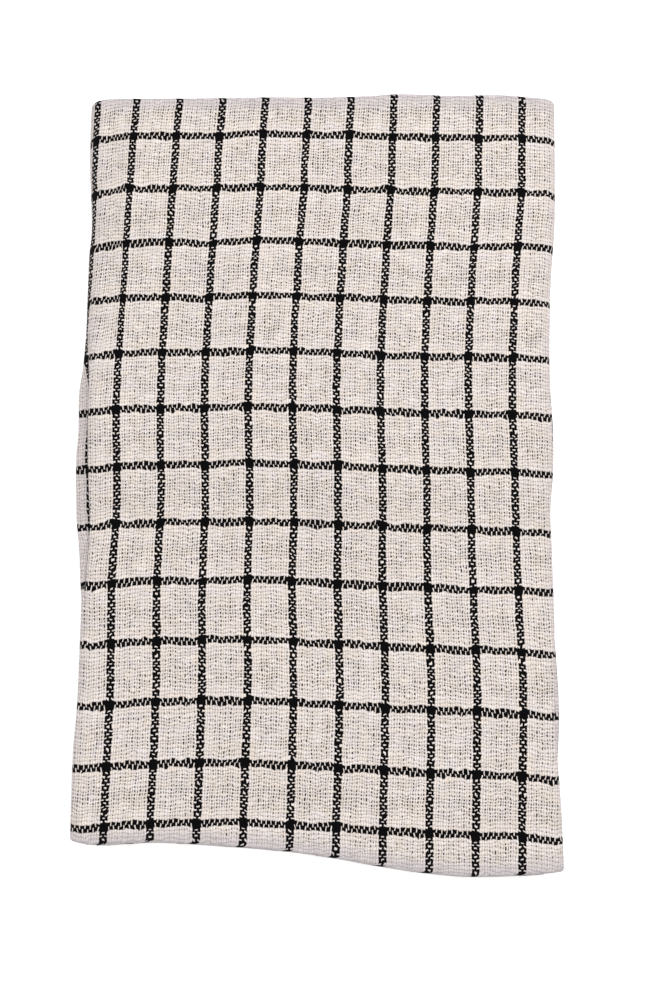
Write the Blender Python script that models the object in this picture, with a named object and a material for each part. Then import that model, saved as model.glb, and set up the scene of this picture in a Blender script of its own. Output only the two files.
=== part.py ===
"""Tea towel, folded into a flat pile.

One piece of cloth, folded twice. The first fold runs across it: the short head end is tucked under the
face, then the foot end is brought up under both, which leaves a bundle as long as the pile. The second
fold runs along it, in thirds: the right third goes under the face, and the left third wraps under both.

Metres, +Z up. X runs across the pile, +Y runs to its head. The origin is under the middle of the pile.
"""

import math
from collections import namedtuple

import bmesh
import bpy
from mathutils import Vector

# The cloth before it is folded
CLOTH_WIDTH = 0.500
CLOTH_LENGTH = 0.700
THICKNESS = 0.0010

# The pile
PILE_WIDTH = 0.172
PILE_LENGTH = 0.283
PLY_PITCH = 0.0014  # between plies of one bundle, middle to middle
BUNDLE_PITCH = 0.0015  # between the nearest plies of two bundles, middle to middle
TUCK = 0.137  # length of the head end that is tucked under the face
INNER_EDGE_INSET = 0.0015  # from the left turn's middle back to the inner third's free edge
SAG_LENGTH = 0.040  # over which the face comes down past the tucked end

# Facets
FLAT_STEPS = 8  # across each third
TUCK_STEPS = 6
OPEN_STEPS = 8  # along the face, past the tucked end
TIGHT_TURN_STEPS = 4
RIGHT_TURN_STEPS = 5
LEFT_TURN_STEPS = 6

# Worked out from those
TURN_RADIUS = PLY_PITCH / 2
DEEP = 2 * PLY_PITCH  # from a bundle's inner ply to its face, over the tucked end
SHALLOW = PLY_PITCH  # the same past the tucked end
HEAD_Y = PILE_LENGTH / 2 - TURN_RADIUS - THICKNESS / 2
FOOT_Y = -HEAD_Y
TUCK_END_Y = HEAD_Y - TUCK
BACK_END_Y = FOOT_Y + CLOTH_LENGTH - TUCK - (HEAD_Y - FOOT_Y) - 2 * math.pi * TURN_RADIUS
RIGHT_RADIUS = BUNDLE_PITCH / 2  # of the inner ply
LEFT_RADIUS = DEEP / 2 + BUNDLE_PITCH  # of the inner ply
RIGHT_X = PILE_WIDTH / 2 - RIGHT_RADIUS - DEEP - THICKNESS / 2
LEFT_X = -PILE_WIDTH / 2 + LEFT_RADIUS + DEEP + THICKNESS / 2
INNER_END_X = LEFT_X + INNER_EDGE_INSET
TURNS_TAKE_UP = math.pi * (RIGHT_RADIUS + LEFT_RADIUS + DEEP)  # measured on the middle ply
OUTER_END_X = LEFT_X + CLOTH_WIDTH - (RIGHT_X - INNER_END_X) - (RIGHT_X - LEFT_X) - TURNS_TAKE_UP

# How far each edge of the pile stands out from a plain rectangle. "at" runs from 0 to 1 along the
# edge, from the left or from the foot.
EdgeRow = namedtuple("EdgeRow", "at out")
HEAD_EDGE = (
    EdgeRow(at=0.00, out=-0.0036),
    EdgeRow(at=0.04, out=-0.0027),
    EdgeRow(at=0.10, out=-0.0022),
    EdgeRow(at=0.23, out=-0.0016),
    EdgeRow(at=0.36, out=-0.0010),
    EdgeRow(at=0.50, out=-0.0010),
    EdgeRow(at=0.60, out=-0.0003),
    EdgeRow(at=0.67, out=0.0007),
    EdgeRow(at=0.78, out=0.0004),
    EdgeRow(at=0.88, out=0.0010),
    EdgeRow(at=0.97, out=-0.0001),
    EdgeRow(at=1.00, out=-0.0010),
)
FOOT_EDGE = (
    EdgeRow(at=0.00, out=-0.0060),
    EdgeRow(at=0.03, out=-0.0043),
    EdgeRow(at=0.07, out=-0.0034),
    EdgeRow(at=0.17, out=-0.0046),
    EdgeRow(at=0.30, out=-0.0037),
    EdgeRow(at=0.45, out=-0.0019),
    EdgeRow(at=0.55, out=0.0004),
    EdgeRow(at=0.63, out=0.0027),
    EdgeRow(at=0.73, out=0.0050),
    EdgeRow(at=0.83, out=0.0060),
    EdgeRow(at=0.97, out=0.0043),
    EdgeRow(at=1.00, out=0.0032),
)
LEFT_EDGE = (
    EdgeRow(at=0.00, out=0.0022),
    EdgeRow(at=0.11, out=0.0023),
    EdgeRow(at=0.17, out=0.0015),
    EdgeRow(at=0.27, out=0.0013),
    EdgeRow(at=0.34, out=0.0012),
    EdgeRow(at=0.39, out=0.0001),
    EdgeRow(at=0.46, out=-0.0002),
    EdgeRow(at=0.57, out=0.0003),
    EdgeRow(at=0.68, out=0.0007),
    EdgeRow(at=0.78, out=0.0009),
    EdgeRow(at=0.82, out=0.0003),
    EdgeRow(at=0.87, out=0.0010),
    EdgeRow(at=0.92, out=0.0018),
    EdgeRow(at=1.00, out=0.0021),
)
RIGHT_EDGE = (
    EdgeRow(at=0.00, out=0.0027),
    EdgeRow(at=0.08, out=0.0020),
    EdgeRow(at=0.13, out=0.0012),
    EdgeRow(at=0.24, out=0.0009),
    EdgeRow(at=0.35, out=0.0004),
    EdgeRow(at=0.40, out=-0.0001),
    EdgeRow(at=0.45, out=-0.0012),
    EdgeRow(at=0.50, out=-0.0007),
    EdgeRow(at=0.55, out=-0.0006),
    EdgeRow(at=0.62, out=-0.0015),
    EdgeRow(at=0.70, out=-0.0012),
    EdgeRow(at=0.76, out=-0.0004),
    EdgeRow(at=0.82, out=0.0010),
    EdgeRow(at=0.87, out=0.0015),
    EdgeRow(at=1.00, out=0.0018),
)

# Where the swell and the groove above it lie, as shares of the pile's height
SWELL_TOP = 0.68
SWELL_FADE = 0.16
GROOVE_HEIGHT = 0.72
GROOVE_REACH = 0.10
GROOVE_SHARE = 0.45

# How far the lower bundles swell out past the face at the pile's sides
LEFT_SWELL = (
    EdgeRow(at=0.31, out=0.0000),
    EdgeRow(at=0.36, out=0.0022),
    EdgeRow(at=0.42, out=0.0032),
    EdgeRow(at=0.50, out=0.0030),
    EdgeRow(at=0.57, out=0.0032),
    EdgeRow(at=0.62, out=0.0016),
    EdgeRow(at=0.67, out=0.0000),
)
RIGHT_SWELL = (
    EdgeRow(at=0.13, out=0.0000),
    EdgeRow(at=0.17, out=0.0010),
    EdgeRow(at=0.21, out=0.0013),
    EdgeRow(at=0.30, out=0.0000),
)
EDGE_REACH = 0.050  # how far into the pile an edge's shape fades out

# Soft waves in the pile's height, as shares of it
WaveRow = namedtuple("WaveRow", "across along turn share")
WAVES = (
    WaveRow(across=0.090, along=0.140, turn=0.4, share=0.025),
    WaveRow(across=0.150, along=0.080, turn=2.1, share=0.020),
    WaveRow(across=-0.070, along=0.110, turn=4.4, share=0.015),
)

# Undyed cotton, as the eye takes the weave from a distance
CLOTH_COLOUR = (0.62, 0.56, 0.50, 1.0)
CLOTH_ROUGHNESS = 0.9

Station = namedtuple("Station", "third x angle")


def smooth(share):
    """0 to 1 with level ends, held there outside."""
    share = min(max(share, 0.0), 1.0)
    return share * share * (3.0 - 2.0 * share)


def read_edge(rows, at):
    """An edge table's value at a place along the edge, on a smooth curve through its rows."""
    if not rows[0].at < at < rows[-1].at:
        return rows[0].out if at <= rows[0].at else rows[-1].out
    index = max(place for place, row in enumerate(rows[:-1]) if row.at < at)
    before, low = rows[max(index - 1, 0)], rows[index]
    high, after = rows[index + 1], rows[min(index + 2, len(rows) - 1)]
    span = high.at - low.at
    share = (at - low.at) / span
    slope_low = (high.out - before.out) / (high.at - before.at) * span
    slope_high = (after.out - low.out) / (after.at - low.at) * span
    rise = smooth(share)
    bend_low = share * (1.0 - share) ** 2
    bend_high = share**2 * (share - 1.0)
    return low.out + (high.out - low.out) * rise + slope_low * bend_low + slope_high * bend_high


def evenly(start, end, steps):
    """Places from start to end, both included."""
    return [start + (end - start) * step / steps for step in range(steps + 1)]


def face_depth(y):
    """How far the face lies above its bundle's inner ply: it comes down past the tucked end."""
    return SHALLOW + (DEEP - SHALLOW) * smooth((y - TUCK_END_Y + SAG_LENGTH) / SAG_LENGTH)


def first_fold():
    """(y, depth) of each station along the cloth, from the tucked end to the foot end."""
    open_face = evenly(TUCK_END_Y, FOOT_Y, OPEN_STEPS)
    tucked = evenly(TUCK_END_Y, HEAD_Y, TUCK_STEPS)
    turn = evenly(-math.pi / 2, math.pi / 2, TIGHT_TURN_STEPS)[1:-1]
    head_depth, foot_depth = 1.5 * PLY_PITCH, 0.5 * PLY_PITCH  # of the two turns' middles
    stations = [(y, PLY_PITCH) for y in tucked]
    for angle in turn:
        y = HEAD_Y + TURN_RADIUS * math.cos(angle)
        stations.append((y, head_depth + TURN_RADIUS * math.sin(angle)))
    stations += [(y, face_depth(y)) for y in tucked[::-1] + open_face[1:]]
    for angle in turn[::-1]:
        y = FOOT_Y - TURN_RADIUS * math.cos(angle)
        stations.append((y, foot_depth + TURN_RADIUS * math.sin(angle)))
    stations += [(y, 0.0) for y in open_face[::-1] + tucked[1:-1] + [BACK_END_Y]]
    return stations


def second_fold():
    """Stations across the cloth, from the inner third's free edge to the outer third's."""
    columns = evenly(LEFT_X, RIGHT_X, FLAT_STEPS)
    stations = [Station("inner", x, 0.0) for x in [INNER_END_X] + columns[1:]]
    stations += [Station("right turn", RIGHT_X, a) for a in evenly(0.0, math.pi, RIGHT_TURN_STEPS)[1:-1]]
    stations += [Station("face", x, 0.0) for x in columns[::-1]]
    stations += [Station("left turn", LEFT_X, a) for a in evenly(math.pi, 0.0, LEFT_TURN_STEPS)[1:-1]]
    stations += [Station("outer", x, 0.0) for x in columns[:-1] + [OUTER_END_X]]
    return stations


def stack(station, y, depth):
    """(x, z) of a place in a bundle once the second fold has laid the bundles on each other."""
    thick = face_depth(y)
    outer_z = THICKNESS / 2 + thick
    inner_z = outer_z + BUNDLE_PITCH + thick
    face_z = inner_z + BUNDLE_PITCH
    if station.third == "inner":
        return station.x, inner_z - depth
    if station.third == "face":
        return station.x, face_z + depth
    if station.third == "outer":
        return station.x, outer_z - depth
    low_z = inner_z if station.third == "right turn" else outer_z
    side = 1.0 if station.third == "right turn" else -1.0
    radius = (face_z - low_z) / 2 + depth
    x = station.x + side * radius * math.sin(station.angle)
    return x, (face_z + low_z) / 2 - radius * math.cos(station.angle)


def settle(x, y, z):
    """Moves a place in the square pile to where the cloth really lies."""
    across = x / PILE_WIDTH + 0.5
    along = y / PILE_LENGTH + 0.5
    top = THICKNESS + 3 * face_depth(y) + 2 * BUNDLE_PITCH
    height = z / top
    groove = GROOVE_SHARE * math.exp(-(((height - GROOVE_HEIGHT) / GROOVE_REACH) ** 2))
    bulge = smooth((SWELL_TOP - height) / SWELL_FADE) - groove
    near_left = smooth(1.0 - (x + PILE_WIDTH / 2) / EDGE_REACH)
    near_right = smooth(1.0 - (PILE_WIDTH / 2 - x) / EDGE_REACH)
    out_left = read_edge(LEFT_EDGE, along) + bulge * read_edge(LEFT_SWELL, along)
    out_right = read_edge(RIGHT_EDGE, along) + bulge * read_edge(RIGHT_SWELL, along)
    out_head = read_edge(HEAD_EDGE, across) * smooth(along)
    out_foot = read_edge(FOOT_EDGE, across) * smooth(1.0 - along)
    lift = 1.0
    for wave in WAVES:
        lift += wave.share * math.sin(math.tau * (x / wave.across + y / wave.along) + wave.turn)
    flat_z = THICKNESS / 2
    return Vector((
        x - near_left * out_left + near_right * out_right,
        y + out_head - out_foot,
        flat_z + (z - flat_z) * lift,
    ))


def folded_sheet():
    """The cloth's middle surface as a grid of faces, centred over the origin."""
    sheet = bmesh.new()
    rows = []
    for y, depth in first_fold():
        row = []
        for station in second_fold():
            x, z = stack(station, y, depth)
            row.append(sheet.verts.new(settle(x, y, z)))
        rows.append(row)
    for low, high in zip(rows, rows[1:]):
        for column in range(len(low) - 1):
            sheet.faces.new((low[column], low[column + 1], high[column + 1], high[column]))
    xs = [vert.co.x for vert in sheet.verts]
    ys = [vert.co.y for vert in sheet.verts]
    middle = Vector(((min(xs) + max(xs)) / 2, (min(ys) + max(ys)) / 2, 0.0))
    bmesh.ops.translate(sheet, verts=sheet.verts, vec=-middle)
    mesh = bpy.data.meshes.new("towel")
    sheet.to_mesh(mesh)
    sheet.free()
    return mesh


def cloth_material():
    """Plain undyed cotton."""
    material = bpy.data.materials.new("towel")
    material.use_nodes = True
    shader = material.node_tree.nodes["Principled BSDF"]
    shader.inputs["Base Color"].default_value = CLOTH_COLOUR
    shader.inputs["Roughness"].default_value = CLOTH_ROUGHNESS
    shader.inputs["Metallic"].default_value = 0.0
    return material


def clear_scene():
    """Takes every object out of the scene."""
    for item in list(bpy.data.objects):
        bpy.data.objects.remove(item)


def build_towel():
    """The towel: the folded sheet, given its thickness."""
    towel = bpy.data.objects.new("towel", folded_sheet())
    bpy.context.scene.collection.objects.link(towel)
    towel.data.materials.append(cloth_material())
    towel.data.shade_smooth()
    solid = towel.modifiers.new("thickness", "SOLIDIFY")
    solid.thickness = THICKNESS
    solid.offset = 0.0
    return towel


clear_scene()
build_towel()
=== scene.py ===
"""Tea towel, folded into a flat pile: its fine folds, its woven finish and a plain studio.

Metres, +Z up. X runs across the pile, +Y runs to its head, and the pile lies on its underside.

One cloth is folded twice. The first fold runs across it: the head end is tucked under the face, then the
foot end is brought up under both. The second fold runs along it, in thirds: the right third goes under the
face, and the left third wraps under both.
"""

import logging
import math
from dataclasses import dataclass, field
from enum import Enum

import bpy
from mathutils import Matrix, Vector, noise


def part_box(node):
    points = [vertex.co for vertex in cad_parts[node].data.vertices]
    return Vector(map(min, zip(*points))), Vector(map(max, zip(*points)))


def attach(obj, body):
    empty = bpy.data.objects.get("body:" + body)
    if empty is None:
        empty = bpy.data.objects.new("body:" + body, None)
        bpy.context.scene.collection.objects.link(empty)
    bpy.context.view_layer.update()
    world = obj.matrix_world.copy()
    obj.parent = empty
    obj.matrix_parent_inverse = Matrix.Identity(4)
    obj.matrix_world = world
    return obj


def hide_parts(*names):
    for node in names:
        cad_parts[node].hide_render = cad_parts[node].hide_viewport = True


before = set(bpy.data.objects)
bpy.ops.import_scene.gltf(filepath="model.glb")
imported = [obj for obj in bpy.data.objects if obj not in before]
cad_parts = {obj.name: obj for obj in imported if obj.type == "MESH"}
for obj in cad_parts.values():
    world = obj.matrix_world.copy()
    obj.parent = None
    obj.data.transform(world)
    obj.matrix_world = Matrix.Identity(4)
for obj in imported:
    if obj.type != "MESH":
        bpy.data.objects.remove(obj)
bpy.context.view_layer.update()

LOG = logging.getLogger("tea_towel")
MILLIMETRE = 0.001
FLOOR_GAP = 0.0002
WHITE = (1.0, 1.0, 1.0, 1.0)

Socket = bpy.types.NodeSocket
NodeInput = float | tuple[float, ...] | Socket


def smooth(share: float) -> float:
    """Eases a share from 0 to 1 with level ends.

    Args:
        share: Any number; outside 0 to 1 it is held at the nearer end.

    Returns:
        The eased share, from 0 to 1.
    """
    share = min(max(share, 0.0), 1.0)
    return share * share * (3.0 - 2.0 * share)


def blend(low: float, high: float, share: float) -> float:
    """Gives the value a share of the way from low to high."""
    return low + (high - low) * share


def evenly(start: float, end: float, steps: int) -> list[float]:
    """Lists places at equal steps from start to end, both included."""
    return [blend(start, end, step / steps) for step in range(steps + 1)]


@dataclass(frozen=True)
class Row:
    """One row of a profile: a place along an edge, from 0 to 1, and its offset there."""

    at: float
    out: float


@dataclass(frozen=True)
class Profile:
    """An offset that varies along an edge, on a smooth curve through a few rows."""

    rows: tuple[Row, ...]

    def read(self, at: float) -> float:
        """Reads the offset at a place along the edge.

        Args:
            at: The place, from 0 to 1.

        Returns:
            The offset, in the rows' own unit.
        """
        rows = self.rows
        if at <= rows[0].at or at >= rows[-1].at:
            return rows[0].out if at <= rows[0].at else rows[-1].out
        index = max(place for place, row in enumerate(rows[:-1]) if row.at < at)
        before, low = rows[max(index - 1, 0)], rows[index]
        high, after = rows[index + 1], rows[min(index + 2, len(rows) - 1)]
        span = high.at - low.at
        share = (at - low.at) / span
        slope_low = (high.out - before.out) / (high.at - before.at) * span
        slope_high = (after.out - low.out) / (after.at - low.at) * span
        bend_low = share * (1.0 - share) ** 2
        bend_high = share**2 * (share - 1.0)
        return blend(low.out, high.out, smooth(share)) + slope_low * bend_low + slope_high * bend_high


def profile(*pairs: tuple[float, float]) -> Profile:
    """Makes a profile in millimetres.

    Args:
        *pairs: A place from 0 to 1 and the offset there in millimetres, for each row.

    Returns:
        The profile, in metres.
    """
    return Profile(tuple(Row(at, out * MILLIMETRE) for at, out in pairs))


class Third(Enum):
    """The stretches of the cloth across its width, from the inner free edge to the outer one."""

    INNER = "inner"
    RIGHT_TURN = "right turn"
    FACE = "face"
    LEFT_TURN = "left turn"
    OUTER = "outer"


class Ply(Enum):
    """The stretches of the cloth along its length, from the tucked end to the foot end."""

    TUCK = "tuck"
    HEAD_TURN = "head turn"
    FACE = "face"
    FOOT_TURN = "foot turn"
    BACK = "back"


@dataclass(frozen=True)
class Across:
    """A place across the cloth: its stretch, its x in the pile and the angle swept in a turn."""

    third: Third
    x: float
    angle: float


@dataclass(frozen=True)
class Along:
    """A place along the cloth: its stretch, its y in the pile, its depth in the bundle, its distance."""

    ply: Ply
    y: float
    depth: float
    distance: float


@dataclass
class FoldPlan:
    """The two folds, as the square pile that they would give. Sizes are in metres."""

    cloth_width: float = 0.500
    cloth_length: float = 0.700
    thickness: float = 0.0010
    pile_width: float = 0.172
    pile_length: float = 0.283
    ply_pitch: float = 0.0014
    bundle_pitch: float = 0.0015
    tuck: float = 0.137
    inner_edge_inset: float = 0.0015
    sag_length: float = 0.040
    turn_radius: float = field(init=False)
    head_y: float = field(init=False)
    foot_y: float = field(init=False)
    tuck_end_y: float = field(init=False)
    back_end_y: float = field(init=False)
    right_radius: float = field(init=False)
    left_radius: float = field(init=False)
    right_x: float = field(init=False)
    left_x: float = field(init=False)
    inner_end_x: float = field(init=False)
    outer_end_x: float = field(init=False)

    def __post_init__(self) -> None:
        """Works out the turns and the free edges from the driving sizes."""
        half_sheet = self.thickness / 2
        self.turn_radius = self.ply_pitch / 2
        self.head_y = self.pile_length / 2 - self.turn_radius - half_sheet
        self.foot_y = -self.head_y
        self.tuck_end_y = self.head_y - self.tuck
        face_length = self.head_y - self.foot_y
        turns = math.tau * self.turn_radius
        self.back_end_y = self.foot_y + self.cloth_length - self.tuck - face_length - turns
        self.right_radius = self.bundle_pitch / 2
        self.left_radius = self.deep / 2 + self.bundle_pitch
        self.right_x = self.pile_width / 2 - self.right_radius - self.deep - half_sheet
        self.left_x = -self.pile_width / 2 + self.left_radius + self.deep + half_sheet
        self.inner_end_x = self.left_x + self.inner_edge_inset
        take_up = math.pi * (self.right_radius + self.left_radius + self.deep)
        inner_width = self.right_x - self.inner_end_x
        face_width = self.right_x - self.left_x
        self.outer_end_x = self.left_x + self.cloth_width - inner_width - face_width - take_up

    @property
    def deep(self) -> float:
        """How far a bundle's face lies above its inner ply, over the tucked end."""
        return 2 * self.ply_pitch

    @property
    def shallow(self) -> float:
        """The same, past the tucked end."""
        return self.ply_pitch

    def face_depth(self, y: float) -> float:
        """How far the face lies above its bundle's inner ply: it comes down past the tucked end."""
        share = smooth((y - self.tuck_end_y + self.sag_length) / self.sag_length)
        return blend(self.shallow, self.deep, share)

    def top(self, y: float) -> float:
        """The height of the pile at a place along it."""
        return self.thickness + 3 * self.face_depth(y) + 2 * self.bundle_pitch

    def outer_height(self, y: float) -> float:
        """The height of the outer third's inner ply."""
        return self.thickness / 2 + self.face_depth(y)

    def inner_height(self, y: float) -> float:
        """The height of the inner third's inner ply."""
        return self.outer_height(y) + self.bundle_pitch + self.face_depth(y)

    def face_height(self, y: float) -> float:
        """The height of the face third's inner ply."""
        return self.inner_height(y) + self.bundle_pitch

    def roll(self, third: Third, y: float) -> tuple[float, float]:
        """Gives a side turn's middle height and the radius of its inner ply.

        Args:
            third: Which of the two turns.
            y: The place along the pile.

        Returns:
            The height of the turn's middle, and its radius.
        """
        low = self.inner_height(y) if third is Third.RIGHT_TURN else self.outer_height(y)
        high = self.face_height(y)
        return (low + high) / 2, (high - low) / 2

    def stack(self, across: Across, along: Along) -> Vector:
        """Finds a place of the cloth in the square pile.

        Args:
            across: The place across the cloth.
            along: The place along the cloth.

        Returns:
            The point, before the pile settles.
        """
        y, depth = along.y, along.depth
        if across.third is Third.INNER:
            return Vector((across.x, y, self.inner_height(y) - depth))
        if across.third is Third.FACE:
            return Vector((across.x, y, self.face_height(y) + depth))
        if across.third is Third.OUTER:
            return Vector((across.x, y, self.outer_height(y) - depth))
        middle, radius = self.roll(across.third, y)
        side = 1.0 if across.third is Third.RIGHT_TURN else -1.0
        x = across.x + side * (radius + depth) * math.sin(across.angle)
        return Vector((x, y, middle - (radius + depth) * math.cos(across.angle)))

    def yarn_distance(self, across: Across, along: Along) -> float:
        """Measures along a pick from the inner free edge to a place, round the turns that it takes.

        Args:
            across: The place across the cloth.
            along: The place along the cloth, which sets how wide the turns are there.

        Returns:
            The distance in metres.
        """
        right = self.roll(Third.RIGHT_TURN, along.y)[1] + along.depth
        left = self.roll(Third.LEFT_TURN, along.y)[1] + along.depth
        inner = self.right_x - self.inner_end_x
        face = self.right_x - self.left_x
        if across.third is Third.INNER:
            return across.x - self.inner_end_x
        if across.third is Third.RIGHT_TURN:
            return inner + right * across.angle
        if across.third is Third.FACE:
            return inner + right * math.pi + self.right_x - across.x
        if across.third is Third.LEFT_TURN:
            return inner + right * math.pi + face + left * (math.pi - across.angle)
        return inner + (right + left) * math.pi + face + across.x - self.left_x


@dataclass(frozen=True)
class Wave:
    """A soft wave in the pile's height: its lengths across and along, its start and its share."""

    across: float
    along: float
    turn: float
    share: float


@dataclass(frozen=True)
class Pucker:
    """Fine puckers in the face: their sizes across and along, their height and their place in the noise."""

    across: float
    along: float
    height: float
    place: float


@dataclass
class Settling:
    """How the square pile settles: its crooked outline, its swollen lower plies and its soft relief.

    Each profile says how far an edge stands out, from left to right or from foot to head.
    """

    plan: FoldPlan
    edge_reach: float = 0.050
    head: Profile = profile(
        (0.00, -3.6), (0.04, -2.7), (0.10, -2.2), (0.23, -1.6), (0.36, -1.0), (0.50, -1.0), (0.60, -0.3),
        (0.67, 0.7), (0.78, 0.4), (0.88, 1.0), (0.97, -0.1), (1.00, -1.0),
    )
    foot: Profile = profile(
        (0.00, -6.0), (0.03, -4.3), (0.07, -3.4), (0.17, -4.6), (0.30, -3.7), (0.45, -1.9),
        (0.55, 0.4), (0.63, 2.7), (0.73, 5.0), (0.83, 6.0), (0.97, 4.3), (1.00, 3.2),
    )
    left: Profile = profile(
        (0.00, 2.2), (0.11, 2.3), (0.17, 1.5), (0.27, 1.3), (0.34, 1.3), (0.39, 0.8), (0.46, 0.6),
        (0.57, 1.0), (0.68, 0.8), (0.78, 0.9), (0.82, 0.3), (0.87, 1.0), (0.92, 1.8), (1.00, 2.1),
    )
    right: Profile = profile(
        (0.00, 2.7), (0.08, 2.0), (0.13, 1.2), (0.24, 0.9), (0.35, 0.4), (0.40, -0.1), (0.45, -1.2),
        (0.50, -0.7), (0.55, -0.6), (0.62, -1.5), (0.70, -1.2), (0.76, -0.4), (0.82, 1.0), (0.87, 1.5),
        (1.00, 1.8),
    )
    left_swell: Profile = profile(
        (0.31, 0.0), (0.36, 1.4), (0.41, 2.9), (0.43, 2.9), (0.50, 2.1), (0.54, 1.4), (0.59, 1.6),
        (0.62, 0.7), (0.67, 0.0),
    )
    right_swell: Profile = profile((0.13, 0.0), (0.17, 1.0), (0.21, 1.3), (0.30, 0.0))
    # Where the swell and the groove above it lie, as shares of the pile's height
    swell_top: float = 0.66
    swell_fade: float = 0.11
    groove_height: float = 0.74
    groove_reach: float = 0.08
    groove_share: float = 1.80
    waves: tuple[Wave, ...] = (
        Wave(across=0.090, along=0.140, turn=0.4, share=0.025),
        Wave(across=0.150, along=0.080, turn=2.1, share=0.020),
        Wave(across=-0.070, along=0.110, turn=4.4, share=0.015),
    )
    puckers: tuple[Pucker, ...] = (
        Pucker(across=0.016, along=0.060, height=0.00035, place=3.1),
        Pucker(across=0.034, along=0.0080, height=0.00022, place=7.7),
        Pucker(across=0.0075, along=0.0068, height=0.00014, place=12.3),
    )
    pucker_start: float = 0.70
    pucker_fade: float = 0.20

    def swell(self, x: float, y: float) -> float:
        """Works out how much the pile's height grows at a place.

        Args:
            x: The place across the pile.
            y: The place along it.

        Returns:
            The factor on the height, about 1.
        """
        total = 1.0
        for wave in self.waves:
            total += wave.share * math.sin(math.tau * (x / wave.across + y / wave.along) + wave.turn)
        return total

    def pucker(self, x: float, y: float) -> float:
        """Works out the height of the fine puckers at a place on the face.

        Args:
            x: The place across the pile.
            y: The place along it.

        Returns:
            The height in metres, above or below the plain face.
        """
        total = 0.0
        for row in self.puckers:
            total += row.height * noise.noise(Vector((x / row.across, y / row.along, row.place)))
        return total

    def place(self, point: Vector) -> Vector:
        """Moves a point of the square pile to where the cloth really lies.

        Args:
            point: The point in the square pile.

        Returns:
            The settled point.
        """
        plan = self.plan
        x, y, z = point
        across = x / plan.pile_width + 0.5
        along = y / plan.pile_length + 0.5
        height = z / plan.top(y)
        below_face = smooth((self.swell_top - height) / self.swell_fade)
        groove = self.groove_share * math.exp(-(((height - self.groove_height) / self.groove_reach) ** 2))
        bulge = below_face - groove
        near_left = smooth(1.0 - (x + plan.pile_width / 2) / self.edge_reach)
        near_right = smooth(1.0 - (plan.pile_width / 2 - x) / self.edge_reach)
        out_left = self.left.read(along) + bulge * self.left_swell.read(along)
        out_right = self.right.read(along) + bulge * self.right_swell.read(along)
        out_head = self.head.read(across) * smooth(along)
        out_foot = self.foot.read(across) * smooth(1.0 - along)
        flat = plan.thickness / 2
        lifted = flat + (z - flat) * self.swell(x, y)
        lifted += self.pucker(x, y) * smooth((height - self.pucker_start) / self.pucker_fade)
        return Vector((
            x - near_left * out_left + near_right * out_right,
            y + out_head - out_foot,
            lifted,
        ))


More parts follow.
